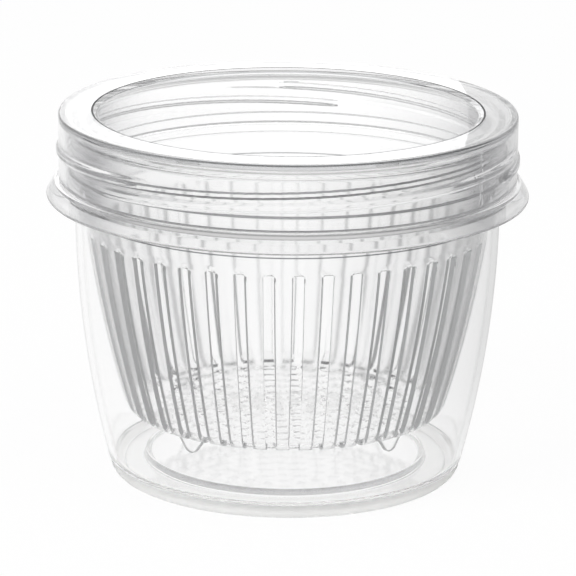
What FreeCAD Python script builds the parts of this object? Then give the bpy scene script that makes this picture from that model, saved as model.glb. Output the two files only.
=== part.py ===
"""Clear herb keeper: a screw-lid canister with a slotted basket that lifts out.

Millimetres, +Z up. The origin is the centre of the base, and the front faces -Y.
Four moulded pieces: container, basket, seal_ring and lid, each written to parts/NODE.step.
"""
import FreeCAD
import Part
import math
import os

# Container: a tapered cup on a foot ring, with a raised middle in its floor
neck_radius = 47.3            # outside of the neck, which the other radii step in or out from
wall = 1.5                    # side wall of the cup
neck_step = 0.9               # wall's outside in from the neck's, just below the flange
wall_taper = 7.2              # how much narrower the wall is at its lower corner
wall_curve = 228.0            # radius of the wall's gentle outward bow
wall_straight = 6.2           # upright stretch of wall just below the flange's top
base_corner = 0.3             # rounding of the wall's lower corner
corner_rise = 0.3             # that corner above the inside of the floor
foot_step = 0.5               # foot ring's outside in from the wall's lower corner
foot_width = 3.0              # radial width of the foot ring
foot_round = 2.5              # rounding of the foot ring's lower outside edge
foot_height = 1.6             # floor's underside above the table
floor_thickness = 1.6
floor_corner = 2.0            # inside rounding between floor and wall
floor_border = 8.2            # from the wall's lower corner in to the floor's raised middle
dome_rise = 1.5
shoulder_height = 66.2        # top of the flange above the table

# Flange: a collar round the shoulder that turns down into a short skirt
flange_thickness = 1.4
flange_overhang = 0.8         # how far it stands out past the lid
flange_drop = 3.9             # from the flange's top to the skirt's lower edge
flange_flare = 2.3            # how much wider the skirt is at its lower edge
flange_round = 0.6
skirt_wall = 1.2
skirt_round = 0.6             # rounding of the skirt's lower outside edge

# Neck and its three-start thread
neck_wall = 1.6
neck_height = 10.9            # from the flange's top to the rim
collar_height = 3.1           # thicker band at the foot of the neck
collar_step = 0.6
rim_round = 0.5
thread_starts = 3
thread_pitch = 3.4            # from one ridge to the next
thread_depth = 0.9
thread_clearance = 0.3        # between each ridge's tip and the wall it faces
thread_play = 0.15            # between the two ridges' flanks
neck_ridge_height = 1.2
lid_ridge_height = 1.3
ridge_taper = 0.3             # how much each flank slopes in from root to tip
neck_ridge_turn = 140.0       # degrees of turn covered by each neck ridge
lid_ridge_turn = 110.0
ridge_end_azimuth = 334.3     # degrees round from +X where one neck ridge ends at its top
ridge_end_drop = 1.4          # ridge's end below the rim

# Basket: hangs from the rim by its lip, and stands clear of the water below
basket_wall = 1.2             # all over: side, floor and lip
basket_gap = 0.85             # between the plain band's lower end and the cup's wall
basket_draft = 0.85           # how much wider the plain band is at the lip
basket_band = 20.1            # height of the plain band under the rim
basket_taper = 9.35           # how much narrower the slotted wall is at its lower end
basket_curve = 250.0          # radius of the basket wall's bow
basket_clear = 9.3            # basket's underside above the raised floor
basket_corner = 4.0
lip_inset = 0.2               # lip's edge inside the neck's outer face
seat_clearance = 0.1          # between pieces stacked on the rim
slot_count = 44
slot_width = 2.0
slot_top_drop = 21.4          # upper ends of the slots below the rim
slot_corner = 0.5             # rounding of each slot's two upper corners
slot_reach = 3.7              # how far the slots run in under the corner
basket_turn = 3.3             # degrees that the slots are turned from the front
hole_radius = 0.9
hole_pitch = 4.3              # between rings of holes in the basket's floor
foot_count = 4
foot_tab_inset = 4.1          # small feet's outer face in from the wall's lower end
foot_tab_wall = 1.1
foot_tab_width = 8.0
foot_tab_tip = 2.2            # rounding at each foot's lower end
foot_tab_height = 3.8

# Seal ring: a flat silicone washer pressed up inside the lid
seal_thickness = 0.9
seal_width = 3.4

# Lid: a cap with a shallow recess in its top and a swelling outside each thread
lid_wall = 1.5
lid_round = 0.8
lid_gap = 0.3                 # lid's lower edge above the flange
recess_margin = 7.5           # flat border round the recess
recess_depth = 0.6
recess_slope = 1.2
swell_height = 2.9            # at its root
swell_crest = 1.45            # height of its flat crest
swell_depth = 0.4
swell_turn = 142.0
swell_azimuth = 235.5         # degrees round from +X where one swelling ends at its top
swell_drop = 6.75             # swelling's upper end below the lid's top
swell_sink = 0.3              # how deep its root lies in the wall
rib_azimuth = -35.2           # degrees round from +X of the fine flow line down the skirt
rib_width = 0.6
rib_depth = 0.15
rib_margin = 1.2              # rib's ends in from the lid's edges
pip_radius = 0.8              # moulding pip at the rib's lower end

# Sizes that follow from those above
up = FreeCAD.Vector(0, 0, 1)
origin = FreeCAD.Vector(0, 0, 0)
body_radius = neck_radius - neck_step
base_radius = body_radius - wall_taper
foot_radius = base_radius - foot_step
dome_radius = base_radius - floor_border
floor_top = foot_height + floor_thickness
dome_top = floor_top + dome_rise
wall_start = floor_top + corner_rise
wall_end = shoulder_height - wall_straight
rim = shoulder_height + neck_height
lead = thread_pitch * thread_starts
lid_inside = neck_radius + thread_depth + thread_clearance
lid_radius = lid_inside + lid_wall
lip_bottom = rim + seat_clearance
lip_top = lip_bottom + basket_wall
seal_bottom = lip_top + seat_clearance
seal_top = seal_bottom + seal_thickness
lid_underside = seal_top + seat_clearance
lid_top = lid_underside + lid_wall
lid_bottom = shoulder_height + lid_gap
band_radius = body_radius - wall - basket_gap
band_bottom = rim - basket_band
basket_base_radius = band_radius - basket_taper
foot_tab_ring = basket_base_radius - foot_tab_inset
basket_bottom = dome_top + basket_clear
sunk = 0.3                    # how deep one solid is sunk into another before they are joined
past = 1.0                    # how far a cutter runs past the solid it cuts


def bowed(low_radius, low_z, high_radius, high_z, curve):
    """Arc from a low point to a high one that bows outwards with the given radius."""
    low = FreeCAD.Vector(low_radius, 0, low_z)
    high = FreeCAD.Vector(high_radius, 0, high_z)
    chord = high.sub(low)
    half = chord.Length / 2
    rise = curve - math.sqrt(curve ** 2 - half ** 2)
    outwards = FreeCAD.Vector(chord.z, 0, -chord.x).normalize()
    middle = low.add(high).multiply(0.5).add(outwards.multiply(rise))
    return Part.Arc(low, middle, high).toShape()


def turned(edges):
    """Solid of revolution about Z from a closed run of edges in the XZ plane."""
    face = Part.Face(Part.Wire(edges))
    return face.revolve(origin, up, 360)


def run(*points):
    """Straight edges through the given (radius, z) points."""
    corners = [FreeCAD.Vector(radius, 0, z) for radius, z in points]
    return [Part.LineSegment(a, b).toShape() for a, b in zip(corners, corners[1:])]


def ring(outer, inner, low, high):
    """Plain ring from one height to another."""
    return turned(run((inner, low), (outer, low), (outer, high), (inner, high), (inner, low)))


def disc(radius, low, high):
    return Part.makeCylinder(radius, high - low, FreeCAD.Vector(0, 0, low))


def circles_at(solid, radius, z):
    """The solid's circular edges of one radius at one height."""
    found = []
    for edge in solid.Edges:
        if isinstance(edge.Curve, Part.Circle):
            same_radius = abs(edge.Curve.Radius - radius) < 0.001
            if same_radius and abs(edge.Curve.Center.z - z) < 0.001:
                found.append(edge)
    return found


def helical_ridge(root, tip, root_height, tip_height, end_azimuth, end_z, turn):
    """Ridge whose upper end is at one azimuth and height and which winds down from there."""
    drop = lead * turn / 360
    spine = Part.makeHelix(lead, drop, root)
    corners = [(root, -root_height / 2), (tip, -tip_height / 2),
               (tip, tip_height / 2), (root, root_height / 2), (root, -root_height / 2)]
    section = Part.Wire(run(*corners))
    ridge = Part.Wire(spine.Edges).makePipeShell([section], True, True)
    ridge.rotate(origin, up, end_azimuth - turn)
    ridge.translate(FreeCAD.Vector(0, 0, end_z - drop))
    return ridge


def thread(root, tip, height, end_azimuth, end_z, turn):
    """One ridge for each start, spaced evenly round the axis."""
    tip_height = height - 2 * ridge_taper
    ridges = []
    for start in range(thread_starts):
        azimuth = end_azimuth + 360 * start / thread_starts
        ridges.append(helical_ridge(root, tip, height, tip_height, azimuth, end_z, turn))
    return ridges


def make_container():
    """Cup, foot ring, flange and threaded neck in one moulding."""
    outside = turned(run((0, wall_start), (base_radius, wall_start))
                     + [bowed(base_radius, wall_start, body_radius, wall_end, wall_curve)]
                     + run((body_radius, wall_end), (body_radius, shoulder_height - sunk),
                           (neck_radius + collar_step, shoulder_height - sunk),
                           (neck_radius + collar_step, shoulder_height + collar_height),
                           (neck_radius, shoulder_height + collar_height),
                           (neck_radius, rim), (0, rim), (0, wall_start)))
    outside = outside.makeFillet(base_corner, circles_at(outside, base_radius, wall_start))
    foot = disc(foot_radius, 0, wall_start + base_corner)
    foot = foot.makeFillet(foot_round, circles_at(foot, foot_radius, 0))
    outside = outside.fuse(foot)

    # the hollow follows the wall, and widens at the shoulder into the neck
    neck_inside = neck_radius - neck_wall
    hollow = turned(run((0, floor_top), (base_radius - wall, floor_top))
                    + [bowed(base_radius - wall, floor_top, body_radius - wall, wall_end,
                             wall_curve - wall)]
                    + run((body_radius - wall, wall_end),
                          (body_radius - wall, shoulder_height - 2 * flange_thickness),
                          (neck_inside, shoulder_height - flange_thickness / 2),
                          (neck_inside, rim + past), (0, rim + past), (0, floor_top)))
    hollow = hollow.makeFillet(floor_corner, circles_at(hollow, base_radius - wall, floor_top))
    hollow = hollow.cut(disc(dome_radius, floor_top - past, dome_top))

    under_floor = disc(foot_radius - foot_width, -past, foot_height)
    under_dome = disc(dome_radius - floor_thickness / 2, -past, foot_height + dome_rise)

    # the flange's plate and skirt, both rounded where they meet
    edge_radius = lid_radius + flange_overhang
    flare_radius = edge_radius + flange_flare
    plate_bottom = shoulder_height - flange_thickness
    skirt_bottom = shoulder_height - flange_drop
    flange = turned(run((body_radius - sunk, plate_bottom),
                        (edge_radius - skirt_wall, plate_bottom),
                        (flare_radius - skirt_wall, skirt_bottom), (flare_radius, skirt_bottom),
                        (edge_radius, shoulder_height), (body_radius - sunk, shoulder_height),
                        (body_radius - sunk, plate_bottom)))
    flange = flange.makeFillet(flange_round, circles_at(flange, edge_radius, shoulder_height))
    flange = flange.makeFillet(skirt_round, circles_at(flange, flare_radius, skirt_bottom))

    ridges = thread(neck_radius - sunk, neck_radius + thread_depth, neck_ridge_height,
                    ridge_end_azimuth, rim - ridge_end_drop, neck_ridge_turn)
    solid = outside.fuse([flange]).cut(hollow).cut(under_floor).cut(under_dome)
    rim_edges = circles_at(solid, neck_radius, rim) + circles_at(solid, neck_inside, rim)
    solid = solid.makeFillet(rim_round, rim_edges)
    return solid.fuse(ridges)


def basket_shape(inset, floor_z, top_z):
    """Solid with the basket's outline, moved in by a wall's thickness."""
    base = basket_base_radius - inset
    band = band_radius - inset
    lip_neck = band + basket_draft
    shape = turned(run((0, floor_z), (base, floor_z))
                   + [bowed(base, floor_z, band, band_bottom, basket_curve - inset)]
                   + run((band, band_bottom), (lip_neck, lip_bottom), (lip_neck, top_z),
                         (0, top_z), (0, floor_z)))
    return shape.makeFillet(basket_corner - inset, circles_at(shape, base, floor_z))


def make_slot():
    """Cutter for one slot: upright with two rounded corners, and open round the lower end."""
    top = rim - slot_top_drop
    start = basket_base_radius - slot_reach
    low = basket_bottom - past
    box = Part.makeBox(body_radius - start, slot_width, top - low,
                       FreeCAD.Vector(start, -slot_width / 2, low))
    corners = []
    for edge in box.Edges:
        middle = edge.CenterOfMass
        if abs(middle.z - top) < 0.001 and abs(abs(middle.y) - slot_width / 2) < 0.001:
            corners.append(edge)
    return box.makeFillet(slot_corner, corners)


def make_foot_tab():
    """Curved tongue under the basket's floor: two slanting sides and a round tip."""
    root_z = basket_bottom + basket_wall / 2
    tip_z = basket_bottom - foot_tab_height
    half = foot_tab_width / 2
    rise = root_z - tip_z - foot_tab_tip
    slant = math.atan2(rise, half) - math.acos(foot_tab_tip / math.hypot(half, rise))
    inner = foot_tab_ring - 2 * foot_tab_wall
    touch_y = foot_tab_tip * math.cos(slant)
    touch_z = tip_z + foot_tab_tip + foot_tab_tip * math.sin(slant)
    left_root, right_root = [FreeCAD.Vector(inner, y, root_z) for y in (-half, half)]
    left_touch, right_touch = [FreeCAD.Vector(inner, y, touch_z) for y in (-touch_y, touch_y)]
    tip = FreeCAD.Vector(inner, 0, tip_z)
    outline = Part.Wire([Part.LineSegment(left_root, left_touch).toShape(),
                         Part.Arc(left_touch, tip, right_touch).toShape(),
                         Part.LineSegment(right_touch, right_root).toShape(),
                         Part.LineSegment(right_root, left_root).toShape()])
    tongue = Part.Face(outline).extrude(FreeCAD.Vector(3 * foot_tab_wall, 0, 0))
    return tongue.common(ring(foot_tab_ring, foot_tab_ring - foot_tab_wall, tip_z - past, root_z))


def make_basket():
    """Slotted cup with a perforated floor, a lip that hangs on the rim, and small feet."""
    solid = basket_shape(0, basket_bottom, lip_top)
    lip_inner = band_radius
    solid = solid.fuse(ring(neck_radius - lip_inset, lip_inner, lip_bottom, lip_top))
    solid = solid.cut(basket_shape(basket_wall, basket_bottom + basket_wall, lip_top + past))

    slot_pitch = 360 / slot_count
    slots = []
    for number in range(slot_count):
        slot = make_slot()
        slot.rotate(origin, up, -90 + basket_turn + number * slot_pitch)
        slots.append(slot)

    holes = []
    ring_count = int((basket_base_radius - slot_reach - hole_pitch / 2) / hole_pitch)
    for number in range(ring_count + 1):
        for place in range(max(1, 6 * number)):
            azimuth = math.radians(360 * place / max(1, 6 * number))
            centre = FreeCAD.Vector(number * hole_pitch * math.cos(azimuth),
                                    number * hole_pitch * math.sin(azimuth), basket_bottom - past)
            holes.append(Part.makeCylinder(hole_radius, basket_wall + 2 * past, centre))

    feet = []
    for number in range(foot_count):
        foot = make_foot_tab()
        foot.rotate(origin, up, -45 + basket_turn + number * 360 / foot_count)
        feet.append(foot)
    return solid.cut(slots + holes).fuse(feet)


def make_seal_ring():
    outer = lid_inside - seat_clearance
    return ring(outer, outer - seal_width, seal_bottom, seal_top)


def make_lid():
    """Cap with a recessed top, a thread inside and a swelling outside each thread."""
    recess_top = lid_radius - recess_margin
    recess_floor = recess_top - recess_slope
    panel_top = lid_top - recess_depth
    outside = turned(run((0, lid_bottom), (lid_radius, lid_bottom), (lid_radius, lid_top),
                         (recess_top, lid_top), (recess_floor, panel_top), (0, panel_top),
                         (0, lid_bottom)))
    outside = outside.makeFillet(lid_round, circles_at(outside, lid_radius, lid_top))
    solid = outside.cut(disc(lid_inside, lid_bottom - past, lid_underside))

    swellings = []
    for start in range(thread_starts):
        azimuth = swell_azimuth + 360 * start / thread_starts
        swelling = helical_ridge(lid_radius - swell_sink, lid_radius + swell_depth, swell_height,
                                 swell_crest, azimuth, lid_top - swell_drop, swell_turn)
        swellings.append(swelling)

    # each lid ridge lies just under a neck ridge, and starts further down the same helix
    flank_offset = (neck_ridge_height + lid_ridge_height) / 2 + thread_play
    lag = (neck_ridge_turn - lid_ridge_turn) / 2
    ridge_end = rim - ridge_end_drop - flank_offset - lead * lag / 360
    ridges = thread(lid_inside + sunk, lid_inside - thread_depth, lid_ridge_height,
                    ridge_end_azimuth - lag, ridge_end, lid_ridge_turn)

    rib_length = lid_top - lid_bottom - 2 * rib_margin
    rib = Part.makeBox(rib_depth + sunk, rib_width, rib_length,
                       FreeCAD.Vector(lid_radius - sunk, -rib_width / 2,
                                      lid_bottom + rib_margin))
    pip = Part.makeCylinder(pip_radius, rib_depth + sunk,
                            FreeCAD.Vector(lid_radius - sunk, 0, lid_bottom + rib_margin),
                            FreeCAD.Vector(1, 0, 0))
    flow_line = rib.fuse(pip)
    flow_line.rotate(origin, up, rib_azimuth)
    return solid.fuse(swellings + ridges + [flow_line])


os.makedirs("parts", exist_ok=True)
nodes = {"container": make_container(), "basket": make_basket(),
         "seal_ring": make_seal_ring(), "lid": make_lid()}
for name, shape in nodes.items():
    solid = shape.removeSplitter()
    print(name, "valid", solid.isValid(), "solids", len(solid.Solids),
          "volume", round(solid.Volume, 1), "box", solid.BoundBox)
    solid.Solids[0].exportStep("parts/" + name + ".step")
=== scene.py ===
"""Herb keeper in colourless clear plastic: container, slotted basket, seal ring and screw lid."""
import math

import bmesh
import bpy
from mathutils import Matrix, Vector


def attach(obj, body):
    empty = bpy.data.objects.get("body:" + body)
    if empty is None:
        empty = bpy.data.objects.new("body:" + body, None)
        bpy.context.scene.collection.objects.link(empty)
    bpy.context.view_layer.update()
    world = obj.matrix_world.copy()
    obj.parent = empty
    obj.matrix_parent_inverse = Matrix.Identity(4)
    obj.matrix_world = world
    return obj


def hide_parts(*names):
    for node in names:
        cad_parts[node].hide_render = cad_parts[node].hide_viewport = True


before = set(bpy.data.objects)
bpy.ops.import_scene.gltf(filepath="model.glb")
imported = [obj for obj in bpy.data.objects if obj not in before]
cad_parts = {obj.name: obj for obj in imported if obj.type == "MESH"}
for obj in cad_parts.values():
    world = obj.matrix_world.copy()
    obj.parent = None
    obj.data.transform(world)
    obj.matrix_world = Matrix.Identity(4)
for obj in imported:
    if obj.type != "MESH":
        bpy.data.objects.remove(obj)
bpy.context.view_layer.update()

mm = 0.001
scene = bpy.context.scene
scene.view_settings.view_transform = "Standard"

# Long light paths, because a ray through the closed keeper crosses more than a dozen clear faces.
light_bounces = 120
scene.cycles.max_bounces = light_bounces
scene.cycles.transmission_bounces = light_bounces
scene.cycles.glossy_bounces = light_bounces
scene.cycles.transparent_max_bounces = 24
scene.cycles.blur_glossy = 0

# --- Camera -----------------------------------------------------------------------------------
# A long lens a little above the rim, level with the front of the keeper.
camera_distance = 880 * mm
camera_elevation = math.radians(15.65)
camera_aim = Vector((0.3 * mm, 0, 40.8 * mm))
camera_roll = math.radians(0.6)
camera = bpy.data.objects.new("camera", bpy.data.cameras.new("camera"))
scene.collection.objects.link(camera)
camera.data.lens = 250
camera.data.sensor_width = 36
camera.data.clip_start = 0.05
camera.data.clip_end = 20
camera_back = Vector((0, -math.cos(camera_elevation), math.sin(camera_elevation)))
camera.location = camera_aim + camera_back * camera_distance
camera_turn = (-camera_back).to_track_quat("-Z", "Y").to_matrix()
camera.rotation_euler = (camera_turn @ Matrix.Rotation(camera_roll, 3, "Z")).to_euler()
scene.camera = camera

# --- Room -------------------------------------------------------------------------------------
# A white room. What is seen in and through the plastic is white at eye level and dims overhead
# and to the right, as in a studio with a lit backdrop, so rims and edges get thin dark lines.
room_level = 0.62             # light that the room itself gives to plain surfaces
overhead_level = 0.4          # what the plastic shows of the room straight up
right_level = 0.8             # and of its right side
white = (1, 1, 1, 1)


def feed(tree, value, socket):
    """Sets a socket, or links it where the value comes from another node."""
    if isinstance(value, bpy.types.NodeSocket):
        tree.links.new(value, socket)
    else:
        socket.default_value = value


def combined(tree, operation, first, second):
    """One value worked out from two."""
    node = tree.nodes.new("ShaderNodeMath")
    node.operation = operation
    feed(tree, first, node.inputs[0])
    feed(tree, second, node.inputs[1])
    return node.outputs["Value"]


def ramp(tree, value, low, high, at_low, at_high, curve="SMOOTHSTEP"):
    """Goes from at_low to at_high as the value goes from low to high, and stays inside them."""
    node = tree.nodes.new("ShaderNodeMapRange")
    node.interpolation_type = curve
    feed(tree, value, node.inputs["Value"])
    feed(tree, low, node.inputs["From Min"])
    feed(tree, high, node.inputs["From Max"])
    feed(tree, at_low, node.inputs["To Min"])
    feed(tree, at_high, node.inputs["To Max"])
    return node.outputs["Result"]


def mixed(tree, share, first, second):
    """Shader that goes from the first one to the second as the share goes from 0 to 1."""
    node = tree.nodes.new("ShaderNodeMixShader")
    feed(tree, share, node.inputs["Fac"])
    tree.links.new(first, node.inputs[1])
    tree.links.new(second, node.inputs[2])
    return node.outputs["Shader"]


def room_shader(tree, strength):
    node = tree.nodes.new("ShaderNodeBackground")
    node.inputs["Color"].default_value = white
    feed(tree, strength, node.inputs["Strength"])
    return node.outputs["Background"]


world = bpy.data.worlds.new("white_room")
world.use_nodes = True
world.cycles.sampling_method = "NONE"
scene.world = world
tree = world.node_tree
tree.nodes.clear()
place = tree.nodes.new("ShaderNodeTexCoord")
split = tree.nodes.new("ShaderNodeSeparateXYZ")
tree.links.new(place.outputs["Generated"], split.inputs["Vector"])
path = tree.nodes.new("ShaderNodeLightPath")
overhead = ramp(tree, split.outputs["Z"], 0.3, 0.7, 1.0, overhead_level)
right_side = ramp(tree, split.outputs["X"], 0.0, 1.0, 1.0, right_level)
seen_level = combined(tree, "MULTIPLY", overhead, right_side)
in_plastic = combined(tree, "MAXIMUM",
                      path.outputs["Is Glossy Ray"], path.outputs["Is Transmission Ray"])
room = mixed(tree, in_plastic, room_shader(tree, room_level), room_shader(tree, seen_level))
room = mixed(tree, path.outputs["Is Camera Ray"], room, room_shader(tree, 1.0))
world_out = tree.nodes.new("ShaderNodeOutputWorld")
tree.links.new(room, world_out.inputs["Surface"])

# The table is a wide white disc. It shows white by itself and keeps a soft trace of shadow. What
# the plastic shows of it carries a painted shade that dims it a little to the right of the keeper.
table_radius = 3.0
table_shade_right = 0.75
table_glow = 0.94             # share of the white that the table gives by itself
bm = bmesh.new()
bmesh.ops.create_circle(bm, cap_ends=True, segments=64, radius=table_radius)
table_mesh = bpy.data.meshes.new("table")
bm.to_mesh(table_mesh)
bm.free()
table = bpy.data.objects.new("table", table_mesh)
scene.collection.objects.link(table)
table_white = bpy.data.materials.new("table_white")
table_white.use_nodes = True
tree = table_white.node_tree
tree.nodes.clear()
place = tree.nodes.new("ShaderNodeTexCoord")
split = tree.nodes.new("ShaderNodeSeparateXYZ")
tree.links.new(place.outputs["Object"], split.inputs["Vector"])
path = tree.nodes.new("ShaderNodeLightPath")
painted_shade_to_right = ramp(tree, split.outputs["X"], 10 * mm, 90 * mm, 1.0, table_shade_right)
shade = tree.nodes.new("ShaderNodeBsdfDiffuse")
shade.inputs["Color"].default_value = (0.9, 0.9, 0.9, 1)
glow = tree.nodes.new("ShaderNodeEmission")
glow.inputs["Color"].default_value = white
feed(tree, combined(tree, "MAXIMUM", path.outputs["Is Camera Ray"], painted_shade_to_right),
     glow.inputs["Strength"])
seen = combined(tree, "MAXIMUM",
                path.outputs["Is Camera Ray"], path.outputs["Is Transmission Ray"])
seen = combined(tree, "MAXIMUM", seen, path.outputs["Is Glossy Ray"])
table_look = mixed(tree, combined(tree, "MULTIPLY", seen, table_glow),
                   shade.outputs["BSDF"], glow.outputs["Emission"])
table_out = tree.nodes.new("ShaderNodeOutputMaterial")
tree.links.new(table_look, table_out.inputs["Surface"])
table_mesh.materials.append(table_white)


# Soft lamps: the stronger one high on the left, a weak one on the right, and a wide one low
# behind the keeper, which shows as the white sheen on the lid's level border.
def add_lamp(name, place, size, power):
    data = bpy.data.lights.new(name, "AREA")
    data.shape = "DISK"
    data.size = size
    data.energy = power
    lamp = bpy.data.objects.new(name, data)
    lamp.location = place
    lamp.rotation_euler = (-Vector(place)).to_track_quat("-Z", "Y").to_euler()
    lamp.visible_glossy = False
    lamp.visible_transmission = False
    scene.collection.objects.link(lamp)
    return lamp


add_lamp("key_lamp", (-1.1, -0.9, 1.3), size=1.0, power=18)
add_lamp("fill_lamp", (1.2, -0.6, 0.9), size=1.2, power=6)
back_lamp = add_lamp("back_lamp", (-0.45, 1.9, 0.58), size=1.2, power=2.5)
back_lamp.data.shape = "RECTANGLE"
back_lamp.data.size_y = 0.6
back_lamp.visible_glossy = True
back_lamp.visible_camera = False

# --- Container --------------------------------------------------------------------------------
# A tapered cup moulded in clear plastic in one with its foot ring, flange and threaded neck. The
# wall bows gently outwards, and the flange turns down into a short skirt that gives the fingers
# a hold. It stands on the foot ring, which has a satin finish.
turns = 256                   # steps round the axis for every turned piece
wall = 1.5 * mm
neck_radius = 47.3 * mm
neck_inside = 45.7 * mm
body_radius = 46.4 * mm
base_radius = 39.2 * mm
wall_curve = 228.0 * mm
foot_radius = 38.7 * mm
foot_round = 2.5 * mm
foot_inside = 35.7 * mm
wall_start = 3.5 * mm
foot_height = 1.6 * mm
floor_top = 3.2 * mm
floor_corner = 2.0 * mm
dome_radius = 31.0 * mm
dome_rise = 1.5 * mm
dome_round = 0.7 * mm
shoulder = 66.2 * mm
shoulder_step = 2.8 * mm      # height of the slope inside, from the cup's wall to the neck's
plate_bottom = 64.8 * mm
flange_radius = 50.8 * mm
flange_round = 0.6 * mm
skirt_radius = 53.1 * mm
skirt_bottom = 62.3 * mm
skirt_wall = 1.2 * mm
collar_radius = 47.9 * mm
collar_top = 69.3 * mm
rim = 77.1 * mm
rim_round = 0.5 * mm
wall_end = 60.0 * mm
starts = 3
lead = 10.2 * mm
thread_low = 70.6 * mm
fine_row = 0.06 * mm          # height of the rows that carry a thread
# one ridge of the thread: where it ends, how far round it goes, its section and how its ends fade
neck_ridge = dict(end_azimuth=334.3, end_z=rim - 1.4 * mm, turn=140, height=1.2 * mm,
                  depth=0.45 * mm, flank=0.35 * mm, run_out=8)


def rounded(path, steps=5):
    """Outline through (radius, z, rounding) corners, with each corner replaced by a short arc."""
    outline = []
    for number, (r, z, rounding) in enumerate(path):
        here = Vector((r, z))
        if rounding == 0:
            outline.append(here)
            continue
        before = (Vector(path[number - 1][:2]) - here).normalized()
        after = (Vector(path[(number + 1) % len(path)][:2]) - here).normalized()
        half = before.angle(after) / 2
        centre = here + (before + after).normalized() * rounding / math.sin(half)
        start = here + before * rounding / math.tan(half) - centre
        end = here + after * rounding / math.tan(half) - centre
        sweep = start.angle_signed(end)
        for step in range(steps + 1):
            outline.append(centre + Matrix.Rotation(-sweep * step / steps, 2) @ start)
    return outline


def bow(low, high, curve, steps):
    """Points of an arc from low to high that bows away from the axis, ends left out."""
    low, high = Vector(low), Vector(high)
    chord = high - low
    side = Vector((chord.y, -chord.x)).normalized()
    depth = math.sqrt(curve ** 2 - (chord.length / 2) ** 2)
    centre = (low + high) / 2 - side * depth
    first, last = low - centre, high - centre
    sweep = first.angle_signed(last)
    points = []
    for step in range(1, steps):
        point = centre + Matrix.Rotation(-sweep * step / steps, 2) @ first
        points.append((point.x, point.y, 0))
    return points


def rows(r, low, high, row=fine_row):
    """Points up or down a straight wall, ends left out, to carry what stands out of the wall."""
    steps = max(2, round(abs(high - low) / row))
    return [(r, low + (high - low) * step / steps, 0) for step in range(1, steps)]


def turned(outline, closed):
    """Mesh spun round the axis from an outline of (radius, z) points."""
    bm = bmesh.new()
    points = [bm.verts.new((p[0], 0, p[1])) for p in outline]
    edges = [bm.edges.new(pair) for pair in zip(points, points[1:])]
    if closed:
        edges.append(bm.edges.new((points[-1], points[0])))
    bmesh.ops.spin(bm, geom=points + edges, cent=(0, 0, 0), axis=(0, 0, 1),
                   angle=math.tau, steps=turns, use_merge=True)
    bmesh.ops.remove_doubles(bm, verts=bm.verts, dist=0.002 * mm)
    bmesh.ops.recalc_face_normals(bm, faces=bm.faces)
    return bm


def eased(x):
    """0 below 0, 1 above 1, and a smooth step in between."""
    x = min(1, max(0, x))
    return x * x * (3 - 2 * x)


def ridge_push(x, y, z, end_azimuth, end_z, turn, height, depth, flank, run_out):
    """How far a thread's ridges move a wall outwards at one point, with ends that fade out."""
    azimuth = math.degrees(math.atan2(y, x))
    push = 0
    for start in range(starts):
        end = end_azimuth + 360 / starts * start
        for lap in (-720, -360, 0, 360):
            behind = end - (azimuth + lap)
            if 0 <= behind <= turn:
                middle = end_z - lead * behind / 360
                across = (height / 2 - abs(z - middle)) / flank + 0.5
                ends = eased(behind / run_out) * eased((turn - behind) / run_out)
                push = max(push, depth * eased(across) * ends)
    return push


def new_group(name, inputs, outputs):
    """Empty shader node group with named sockets, and its two end nodes."""
    group = bpy.data.node_groups.new(name, "ShaderNodeTree")
    for label, kind in inputs.items():
        group.interface.new_socket(label, in_out="INPUT", socket_type=kind)
    for label, kind in outputs.items():
        group.interface.new_socket(label, in_out="OUTPUT", socket_type=kind)
    return group, group.nodes.new("NodeGroupInput"), group.nodes.new("NodeGroupOutput")


# Faint waves that the plastic froze in as it flowed into its mould.
flow_ripples, given, result = new_group("flow_ripples", {"Scale": "NodeSocketFloat"},
                                        {"Height": "NodeSocketFloat"})
place = flow_ripples.nodes.new("ShaderNodeTexCoord")
waves = flow_ripples.nodes.new("ShaderNodeTexNoise")
waves.inputs["Detail"].default_value = 2
flow_ripples.links.new(place.outputs["Object"], waves.inputs["Vector"])
flow_ripples.links.new(given.outputs["Scale"], waves.inputs["Scale"])
flow_ripples.links.new(waves.outputs["Fac"], result.inputs["Height"])

# Painted shade: upright walls darken towards a set shade as they turn away from the ray that
# meets them, standing in for the dark rims that clear plastic shows there. Level faces keep the
# clear colour.
edge_on_painted_shade, given, result = new_group(
    "edge_on_painted_shade",
    {"Facing": "NodeSocketFloat", "From": "NodeSocketFloat", "To": "NodeSocketFloat",
     "Clear": "NodeSocketColor", "Edge": "NodeSocketColor"},
    {"Color": "NodeSocketColor"})
place = edge_on_painted_shade.nodes.new("ShaderNodeTexCoord")
split = edge_on_painted_shade.nodes.new("ShaderNodeSeparateXYZ")
edge_on_painted_shade.links.new(place.outputs["Normal"], split.inputs["Vector"])
turned_away = ramp(edge_on_painted_shade, given.outputs["Facing"],
                   given.outputs["From"], given.outputs["To"], 0.0, 1.0)
level = combined(edge_on_painted_shade, "MULTIPLY", split.outputs["Z"], split.outputs["Z"])
upright = ramp(edge_on_painted_shade, level, 0.0, 0.5, 1.0, 0.0, curve="LINEAR")
tint = edge_on_painted_shade.nodes.new("ShaderNodeMix")
tint.data_type = "RGBA"
feed(edge_on_painted_shade, combined(edge_on_painted_shade, "MULTIPLY", turned_away, upright), tint.inputs["Factor"])
edge_on_painted_shade.links.new(given.outputs["Clear"], tint.inputs["A"])
edge_on_painted_shade.links.new(given.outputs["Edge"], tint.inputs["B"])
edge_on_painted_shade.links.new(tint.outputs["Result"], result.inputs["Color"])


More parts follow.
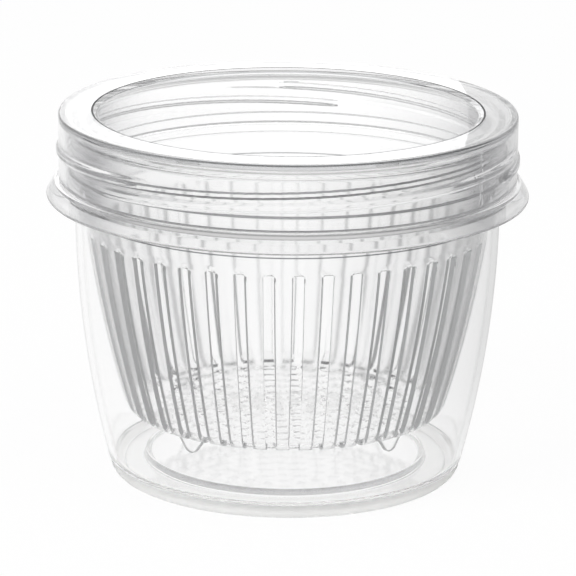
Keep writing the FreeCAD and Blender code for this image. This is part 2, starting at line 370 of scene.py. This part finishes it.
def clear_plastic(name, colour=white, roughness=0.0, ior=1.49, ripple=0.0, clear=1.0, haze=12,
                  slant=(0.8, 0.98), edge=0.45):
    """Clear moulded plastic: faint flow ripples, greyer through its depth, lets lamps through.

    haze is how fast it greys through its depth, slant is where its upright walls start and end to
    turn away from the ray, and edge is the painted shade that they take on there."""
    material = bpy.data.materials.new(name)
    material.use_nodes = True
    tree = material.node_tree
    tree.nodes.clear()
    ripples = tree.nodes.new("ShaderNodeGroup")
    ripples.node_tree = flow_ripples
    ripples.inputs["Scale"].default_value = 60
    bump = tree.nodes.new("ShaderNodeBump")
    bump.inputs["Strength"].default_value = ripple
    bump.inputs["Distance"].default_value = 0.4 * mm
    tree.links.new(ripples.outputs["Height"], bump.inputs["Height"])
    facing = tree.nodes.new("ShaderNodeLayerWeight")
    facing.inputs["Blend"].default_value = 0.5
    grey = tree.nodes.new("ShaderNodeGroup")
    grey.node_tree = edge_on_painted_shade
    tree.links.new(facing.outputs["Facing"], grey.inputs["Facing"])
    grey.inputs["From"].default_value = slant[0]
    grey.inputs["To"].default_value = slant[1]
    grey.inputs["Clear"].default_value = colour
    grey.inputs["Edge"].default_value = (edge, edge, edge * 1.01, 1)
    plastic = tree.nodes.new("ShaderNodeBsdfPrincipled")
    plastic.inputs["Roughness"].default_value = roughness
    plastic.inputs["IOR"].default_value = ior
    plastic.inputs["Transmission Weight"].default_value = clear
    tree.links.new(grey.outputs["Color"], plastic.inputs["Base Color"])
    tree.links.new(bump.outputs["Normal"], plastic.inputs["Normal"])
    lamp_light = tree.nodes.new("ShaderNodeBsdfTransparent")
    lamp_light.inputs["Color"].default_value = (0.93, 0.93, 0.93, 1)
    path = tree.nodes.new("ShaderNodeLightPath")
    out = tree.nodes.new("ShaderNodeOutputMaterial")
    look = mixed(tree, path.outputs["Is Shadow Ray"],
                 plastic.outputs["BSDF"], lamp_light.outputs["BSDF"])
    tree.links.new(look, out.inputs["Surface"])
    depth = tree.nodes.new("ShaderNodeVolumeAbsorption")
    depth.inputs["Color"].default_value = (0.5, 0.505, 0.52, 1)
    depth.inputs["Density"].default_value = haze
    tree.links.new(depth.outputs["Volume"], out.inputs["Volume"])
    return material


def finish_piece(name, bm, materials):
    """Turns the bmesh into a smooth-shaded object whose flat faces keep their own normals."""
    mesh = bpy.data.meshes.new(name)
    for face in bm.faces:
        face.smooth = True
    bm.to_mesh(mesh)
    bm.free()
    for material in materials:
        mesh.materials.append(material)
    piece = bpy.data.objects.new(name, mesh)
    scene.collection.objects.link(piece)
    weighted = piece.modifiers.new("flat_faces_first", "WEIGHTED_NORMAL")
    weighted.mode = "FACE_AREA"
    weighted.weight = 100
    return piece


outside_wall = bow((base_radius, wall_start), (body_radius, wall_end), wall_curve, 24)
inside_wall = bow((base_radius - wall, floor_top), (body_radius - wall, wall_end),
                  wall_curve - wall, 24)
container_outline = rounded(
    [(0, foot_height + dome_rise, 0),
     (dome_radius - 0.8 * mm, foot_height + dome_rise, dome_round),
     (dome_radius - 0.8 * mm, foot_height, 0.6 * mm),
     (foot_inside, foot_height, 0.4 * mm),
     (foot_inside, 0, 0.3 * mm),
     (foot_radius, 0, foot_round),
     (foot_radius, wall_start, 0.15 * mm),
     (base_radius, wall_start, 0.3 * mm)]
    + outside_wall
    + [(body_radius, wall_end, 0),
       (body_radius, plate_bottom, 0.5 * mm),
       (flange_radius - skirt_wall, plate_bottom, 0.5 * mm),
       (skirt_radius - skirt_wall, skirt_bottom, 0.15 * mm),
       (skirt_radius, skirt_bottom, flange_round),
       (flange_radius, shoulder, flange_round),
       (collar_radius, shoulder, 0.3 * mm),
       (collar_radius, collar_top, 0.25 * mm),
       (neck_radius, collar_top, 0.2 * mm)]
    + rows(neck_radius, thread_low, rim - 0.6 * mm)
    + [(neck_radius, rim, rim_round),
       (neck_inside, rim, rim_round),
       (neck_inside, shoulder - 0.7 * mm, 0.5 * mm),
       (body_radius - wall, shoulder - shoulder_step, 0.5 * mm),
       (body_radius - wall, wall_end, 0)]
    + inside_wall[::-1]
    + [(base_radius - wall, floor_top, floor_corner),
       (dome_radius, floor_top, 0.6 * mm),
       (dome_radius, floor_top + dome_rise, dome_round),
       (0, floor_top + dome_rise, 0)])
bm = turned(container_outline, closed=False)

# the wall is pushed out into thread ridges, whose flanks catch the dark of the room
flank_drop = 0.07 * mm
upper_reach = 0.08 * mm
lower_reach = 0.25 * mm
on_flank = set()
for vert in bm.verts:
    x, y, z = vert.co
    radius = math.hypot(x, y)
    if collar_top < z < rim and radius > neck_radius - 0.1 * mm:
        push, above, below, far_above, far_below = [
            ridge_push(x, y, z + step, **neck_ridge)
            for step in (0, upper_reach, -upper_reach, lower_reach, -lower_reach)]
        if below - above > flank_drop or far_above - far_below > flank_drop:
            on_flank.add(vert)
        vert.co.x *= 1 + push / radius
        vert.co.y *= 1 + push / radius

# faces on the thread flanks and round the collar's top take a darker colour, a painted shade line
satin, polished, flank_shade_lines = 1, 2, 3
for face in bm.faces:
    middle = face.calc_center_median()
    from_axis = middle.xy.length
    if middle.z < wall_start - 0.05 * mm and from_axis > dome_radius:
        if middle.z < floor_top - 0.2 * mm or from_axis > foot_radius - mm:
            face.material_index = satin
    if middle.z > wall_end + 0.1 * mm:
        face.material_index = polished
    if sum(vert in on_flank for vert in face.verts) > 1:
        face.material_index = flank_shade_lines
    if abs(middle.z - collar_top) < 0.25 * mm and from_axis > neck_radius:
        face.material_index = flank_shade_lines
# container_plastic paints shade on the upright walls where they turn away from the ray, and
# polished_neck paints a broad side shade on everything above the wall
container = finish_piece("container_shell", bm, [
    clear_plastic("container_plastic", roughness=0.04, ripple=0.04, slant=(0.84, 0.97), edge=0.2),
    clear_plastic("satin_foot", (1, 1, 0.99, 1), roughness=0.45, ior=1.3, ripple=0.05, clear=0.6),
    clear_plastic("polished_neck", roughness=0.02, slant=(0.2, 0.55), edge=0.72),
    clear_plastic("ridge_flank_shade", (0.6, 0.603, 0.61, 1), roughness=0.15)])
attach(container, "container")
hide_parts("container")

# --- Basket -----------------------------------------------------------------------------------
# A thin slotted cup, moulded in clear plastic, that hangs by its lip from the neck's rim. The
# slots run from just below the plain band down round the lower corner, and the floor is
# perforated in rings. Four small feet let it stand by itself.
basket_wall = 1.2 * mm
band_radius = 44.05 * mm
band_bottom = 57.0 * mm
lip_neck = 44.9 * mm
lip_bottom = 77.2 * mm
lip_radius = 47.1 * mm
basket_bottom = 14.0 * mm
basket_base = 34.7 * mm
basket_curve = 250.0 * mm
basket_corner = 4.0 * mm
slot_count = 44
slot_half = 1.0 * mm
slot_top = 55.7 * mm
slot_corner = 0.5 * mm        # rounding of each slot's two upper corners
slot_start = 31.0 * mm        # radius where the slots start under the corner
slot_turn = math.radians(3.3)
slot_pitch = math.tau / slot_count
slot_widen = 0.12 * mm        # draft: how much a slot is wider on the outside, each side
slot_narrow = 0.3 * mm        # and narrower on the inside
slot_edge = 0.28 * mm         # width of the slots' broken edges
floor_edge = 30.2 * mm
hole_radius = 0.9 * mm
hole_pitch = 4.3 * mm
hole_rings = 7
touching = 0.0001 * mm

# a sector one slot wide is spun from the outside's outline, with its slot in the middle
basket_side = bow((basket_base, basket_bottom), (band_radius, band_bottom), basket_curve, 22)
basket_outline = rounded([(floor_edge, basket_bottom, 0),
                          (basket_base, basket_bottom, basket_corner)]
                         + [p for p in basket_side if p[1] > basket_bottom + 4.2 * mm]
                         + [(band_radius, band_bottom, 0),
                            (lip_neck, lip_bottom, 0.4 * mm),
                            (lip_radius, lip_bottom, 0)], steps=8)
bm = bmesh.new()
half_back = Matrix.Rotation(-slot_pitch / 2, 3, "Z")
spun = [bm.verts.new(half_back @ Vector((p[0], 0, p[1]))) for p in basket_outline]
edges = [bm.edges.new(pair) for pair in zip(spun, spun[1:])]
bmesh.ops.spin(bm, geom=spun + edges, cent=(0, 0, 0), axis=(0, 0, 1), angle=slot_pitch, steps=4)


def with_rim(faces):
    found = {e for f in faces for e in f.edges} | {v for f in faces for v in f.verts}
    return list(found) + list(faces)


def cut(faces, point, normal):
    """Cuts the faces along a plane."""
    bmesh.ops.bisect_plane(bm, geom=with_rim(faces), dist=touching,
                           plane_co=point, plane_no=normal)


def slot_column():
    """Faces between the slot's two sides, all the way up."""
    middles = [(f, f.calc_center_median()) for f in bm.faces]
    return [f for f, middle in middles if abs(middle.y) < slot_half and middle.x > 0]


for side in (-1, 1):
    cut([f for f in bm.faces if f.calc_center_median().z < slot_top + 0.2 * mm],
        (0, side * slot_half, 0), (0, 1, 0))
cut(slot_column(), (0, 0, slot_top), (0, 0, 1))
cut(slot_column(), (slot_start, 0, 0), (1, 0, 0))
corner_height = slot_top - slot_corner
for side in (-1, 1):
    centre = Vector((0, side * (slot_half - slot_corner), corner_height))
    for number in range(3):
        lean = math.pi / 2 * (number + 0.5) / 3
        outwards = Vector((0, side * math.cos(lean), math.sin(lean)))
        cut([f for f in slot_column() if corner_height < f.calc_center_median().z < slot_top],
            centre + outwards * slot_corner, outwards)
opening = []
for face in slot_column():
    middle = face.calc_center_median()
    aside = Vector((max(0, abs(middle.y) - slot_half + slot_corner),
                    max(0, middle.z - corner_height)))
    if middle.x > slot_start and middle.z < slot_top and aside.length < slot_corner * 0.99:
        opening.append(face)
bmesh.ops.delete(bm, geom=opening, context="FACES")
bmesh.ops.spin(bm, geom=bm.verts[:] + bm.edges[:] + bm.faces[:], cent=(0, 0, 0), axis=(0, 0, 1),
               angle=slot_pitch * (slot_count - 1), steps=slot_count - 1, use_duplicate=True)
bmesh.ops.remove_doubles(bm, verts=bm.verts, dist=0.01 * mm)

# the floor is filled in between its edge and the rings of round holes
floor_loop = [e for e in bm.edges if e.is_boundary
              and all(v.co.xy.length < floor_edge + 0.05 * mm for v in e.verts)]
for ring_number in range(hole_rings):
    for number in range(max(1, 6 * ring_number)):
        azimuth = math.tau * number / max(1, 6 * ring_number)
        centre = Matrix.Translation((ring_number * hole_pitch * math.cos(azimuth),
                                     ring_number * hole_pitch * math.sin(azimuth),
                                     basket_bottom))
        hole = bmesh.ops.create_circle(bm, segments=12, radius=hole_radius, matrix=centre)
        floor_loop += list({e for v in hole["verts"] for e in v.link_edges})
bmesh.ops.triangle_fill(bm, use_beauty=True, use_dissolve=False, edges=floor_loop)
slot_middle = slot_turn - math.pi / 2
bmesh.ops.rotate(bm, verts=bm.verts, cent=(0, 0, 0), matrix=Matrix.Rotation(slot_middle, 3, "Z"))

# the faces are turned outwards, and the wall is thickened inwards from them
bmesh.ops.recalc_face_normals(bm, faces=bm.faces)
outermost = max(bm.faces, key=lambda f: f.calc_center_median().xy.length
                if f.calc_center_median().z < band_bottom else 0)
if outermost.normal.xy.dot(outermost.calc_center_median().xy) < 0:
    bmesh.ops.reverse_faces(bm, faces=bm.faces)
outer_points = set(bm.verts)
bmesh.ops.solidify(bm, geom=bm.faces[:], thickness=basket_wall)
# the slots' side faces are marked for a darker colour, a painted shade
shaded_slot_side, shaded_slot_rim, floor_face = 1, 2, 3
for face in bm.faces:
    middle = face.calc_center_median()
    radial = Vector((middle.x, middle.y, 0)).normalized()
    across_wall = abs(face.normal.dot(radial)) < 0.4 and abs(face.normal.z) < 0.9
    in_height = basket_bottom + 1.5 * mm < middle.z < slot_top + 0.1 * mm
    if across_wall and in_height and middle.xy.length > floor_edge:
        face.material_index = shaded_slot_side

# the slots are cut with draft, so they narrow towards the inside, and their edges are broken
rim_edges = [e for e in bm.edges if len(e.link_faces) == 2
             and {f.material_index for f in e.link_faces} == {0, shaded_slot_side}]
for vert in {v for e in rim_edges for v in e.verts}:
    azimuth = math.atan2(vert.co.y, vert.co.x) - slot_middle
    aside = azimuth - round(azimuth / slot_pitch) * slot_pitch
    radius = vert.co.xy.length
    widen = slot_widen if vert in outer_points else -slot_narrow
    if abs(aside) * radius > 0.3 * mm:
        vert.co = Matrix.Rotation(math.copysign(widen / radius, aside), 3, "Z") @ vert.co
    if vert.co.z > corner_height:
        vert.co.z += widen * (vert.co.z - corner_height) / slot_corner
# the broken slot edges take a still darker colour, a painted shade line
bmesh.ops.bevel(bm, geom=rim_edges, offset=slot_edge, offset_type="WIDTH", segments=1,
                profile=0.5, affect="EDGES", clamp_overlap=True, material=shaded_slot_rim)
for face in bm.faces:
    middle = face.calc_center_median()
    if middle.z < basket_bottom + 1.5 * mm and middle.xy.length < slot_start + 0.5 * mm:
        face.material_index = floor_face

# four curved feet stand just under the floor, each a rounded tab between two slots
foot_count = 4
foot_azimuth = math.radians(-41.7)
foot_ring = 30.05 * mm
foot_wall = 1.1 * mm
foot_half = 4.0 * mm
foot_tip = 2.2 * mm           # rounding at its lower end
foot_drop = 3.8 * mm
foot_edge = 0.25 * mm
feet = bmesh.new()
tip_centre = Vector((0, -foot_drop + foot_tip))
reach = Vector((foot_half, 0)) - tip_centre
tilt = math.atan2(reach.y, reach.x) - math.acos(foot_tip / reach.length)
foot_profile = [Vector((foot_half * step / 4, 0)) for step in range(-4, 5)]
for step in range(13):
    turn = tilt - (math.pi + 2 * tilt) * step / 12
    foot_profile.append(tip_centre + Vector((math.cos(turn), math.sin(turn))) * foot_tip)
points = [feet.verts.new((foot_ring - foot_wall / 2, p.x, basket_bottom - 0.02 * mm + p.y))
          for p in foot_profile]
front = feet.faces.new(points)
grown = bmesh.ops.extrude_face_region(feet, geom=[front])
bmesh.ops.translate(feet, verts=[v for v in grown["geom"] if isinstance(v, bmesh.types.BMVert)],
                    vec=(foot_wall, 0, 0))
bmesh.ops.recalc_face_normals(feet, faces=feet.faces)
# the feet's broken edges take the slots' painted shade, which draws their dark outline
bmesh.ops.bevel(feet, geom=[e for e in feet.edges if e.calc_face_angle(0) > 1], offset=foot_edge,
                offset_type="WIDTH", segments=1, profile=0.5, affect="EDGES", material=shaded_slot_side)
bmesh.ops.rotate(feet, verts=feet.verts, cent=(0, 0, 0),
                 matrix=Matrix.Rotation(foot_azimuth, 3, "Z"))
bmesh.ops.spin(feet, geom=feet.verts[:] + feet.edges[:] + feet.faces[:], cent=(0, 0, 0),
               axis=(0, 0, 1), angle=math.tau * (foot_count - 1) / foot_count,
               steps=foot_count - 1, use_duplicate=True)
bmesh.ops.recalc_face_normals(feet, faces=feet.faces)
feet_mesh = bpy.data.meshes.new("feet")
feet.to_mesh(feet_mesh)
feet.free()
bm.from_mesh(feet_mesh)
bpy.data.meshes.remove(feet_mesh)
# basket_plastic paints a broad shade on its walls as they turn away from the ray
basket = finish_piece("slotted_basket", bm, [
    clear_plastic("basket_plastic", roughness=0.07, ripple=0.06, slant=(0.4, 0.85), edge=0.7),
    clear_plastic("slot_side_shade", (0.5, 0.505, 0.51, 1), roughness=0.35, clear=0.3),
    clear_plastic("slot_rim_shade", (0.28, 0.282, 0.286, 1), roughness=0.2),
    clear_plastic("floor_plastic", roughness=0.04, ior=1.08, ripple=0.06, edge=0.95)])
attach(basket, "basket")
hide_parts("basket")

# --- Seal ring --------------------------------------------------------------------------------
# A flat washer of clear silicone, cut from sheet and pressed up inside the lid, so that it closes
# on the basket's lip. It can hardly be seen against the plastic.
seal_outer = 48.4 * mm
seal_inner = 45.0 * mm
seal_bottom = 78.5 * mm
seal_top = 79.4 * mm
seal_round = 0.3 * mm
bm = turned(rounded([(seal_inner, seal_bottom, seal_round), (seal_outer, seal_bottom, seal_round),
                     (seal_outer, seal_top, seal_round), (seal_inner, seal_top, seal_round)]),
            closed=True)
seal = finish_piece("seal_washer", bm, [clear_plastic("seal_silicone", ior=1.05)])
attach(seal, "seal_ring")
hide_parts("seal_ring")

# --- Lid --------------------------------------------------------------------------------------
# A shallow cap with a sunk middle, moulded in clear plastic, that screws down over the neck. Each
# inner thread ridge shows as a soft swelling outside, and one fine flow line with a moulding pip
# at its lower end runs down the skirt.
lid_inside = 48.5 * mm
lid_radius = 50.0 * mm
lid_bottom = 66.5 * mm
lid_under = 79.5 * mm
lid_top = 81.0 * mm
lid_round = 0.8 * mm
recess_radius = 42.5 * mm
recess_slope = 1.2 * mm
recess_depth = 0.6 * mm
recess_border = 0.35 * mm     # half the width of the line round the recess
inner_ridge = dict(end_azimuth=319.3, end_z=rim - 3.225 * mm, turn=110, height=1.3 * mm,
                   depth=0.12 * mm, flank=0.9 * mm, run_out=20)
swelling = dict(end_azimuth=235.5, end_z=lid_top - 6.75 * mm, turn=142, height=1.7 * mm,
                depth=0.5 * mm, flank=0.9 * mm, run_out=14)
swell_low = 68.8 * mm         # stretch of the skirt that carries the swellings
swell_high = 75.7 * mm
flow_azimuth = math.radians(-35.2)
flow_low = 67.7 * mm
flow_high = 79.8 * mm
flow_half = 0.3 * mm
flow_depth = 0.05 * mm
pip_radius = 0.8 * mm
pip_depth = 0.08 * mm
lid_outline = rounded(
    [(0, lid_under, 0),
     (recess_radius - 0.5 * mm, lid_under, 0),
     (lid_inside, lid_under, 0.5 * mm)]
    + rows(lid_inside, 75.2 * mm, 69.4 * mm)
    + [(lid_inside, lid_bottom, 0.3 * mm),
       (lid_radius, lid_bottom, 0.3 * mm)]
    + rows(lid_radius, 67.1 * mm, 68.9 * mm, row=0.2 * mm)
    + rows(lid_radius, swell_low, swell_high)
    + rows(lid_radius, 78.7 * mm, 80.2 * mm, row=0.3 * mm)
    + [(lid_radius, lid_top, lid_round),
       (recess_radius + recess_border, lid_top, 0),
       (recess_radius, lid_top, 0.4 * mm),
       (recess_radius - recess_slope, lid_top - recess_depth, 0.5 * mm),
       (0, lid_top - recess_depth, 0)])
bm = turned(lid_outline, closed=False)

# the skirt gets narrow strips beside the flow line, so that the line comes out crisp
along = Vector((math.cos(flow_azimuth), math.sin(flow_azimuth), 0))
across = Vector((-along.y, along.x, 0))
for step in range(-9, 10):
    skirt = []
    for face in bm.faces:
        middle = face.calc_center_median()
        if (middle.xy.length > lid_radius - 0.2 * mm
                and lid_bottom + 0.4 * mm < middle.z < lid_top - 0.9 * mm
                and abs(middle.dot(across)) < 2 * mm and middle.dot(along) > 0):
            skirt.append(face)
    cut(skirt, across * step * 0.1 * mm, across)
for vert in bm.verts:
    x, y, z = vert.co
    radius = math.hypot(x, y)
    if z < lid_top - 0.9 * mm and radius > lid_radius - 0.1 * mm:
        push = ridge_push(x, y, z, **swelling)
        aside = abs(vert.co.dot(across))
        if aside < mm and vert.co.dot(along) > 0:
            line = eased((flow_half - aside) / (0.3 * mm) + 0.5)
            line *= eased((z - flow_low) / (0.4 * mm)) * eased((flow_high - z) / (0.6 * mm))
            far = math.hypot(aside, z - flow_low - 0.4 * mm) / pip_radius
            pip = math.sqrt(max(0, 1 - far ** 2))
            push += max(flow_depth * line, pip_depth * pip)
    elif z < lid_under - 0.6 * mm and abs(radius - lid_inside) < 0.1 * mm:
        push = -ridge_push(x, y, z, **inner_ridge)
    else:
        continue
    vert.co.x *= 1 + push / radius
    vert.co.y *= 1 + push / radius

# the lid's lower rim, the turn of its top rounding and a thin ring round the recess take darker
# colours: painted shade lines
panel, lid_shade_line, recess_shade_line = 1, 2, 3
for face in bm.faces:
    middle = face.calc_center_median()
    from_axis = middle.xy.length
    if from_axis < recess_radius - recess_slope and middle.z > lid_under - 0.1 * mm:
        face.material_index = panel
    if middle.z < lid_bottom + 0.3 * mm:
        face.material_index = lid_shade_line
    if from_axis > lid_radius - 0.5 * mm and lid_top - 0.5 * mm < middle.z < lid_top - 0.2 * mm:
        face.material_index = lid_shade_line
    if middle.z > lid_top - 0.06 * mm and abs(from_axis - recess_radius) < recess_border:
        face.material_index = recess_shade_line
# lid_plastic paints a broad side shade on the lid's upright walls as they turn away from the ray
lid = finish_piece("lid_shell", bm, [
    clear_plastic("lid_plastic", roughness=0.02, haze=6, slant=(0.2, 0.55), edge=0.72),
    clear_plastic("lid_panel", roughness=0.02, ior=1.06, haze=6),
    clear_plastic("lid_rim_shade", (0.45, 0.453, 0.46, 1), roughness=0.15, haze=6),
    clear_plastic("recess_shade_line", (0.25, 0.252, 0.256, 1), roughness=0.5, ior=1.2, haze=6)])
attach(lid, "lid")
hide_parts("lid")
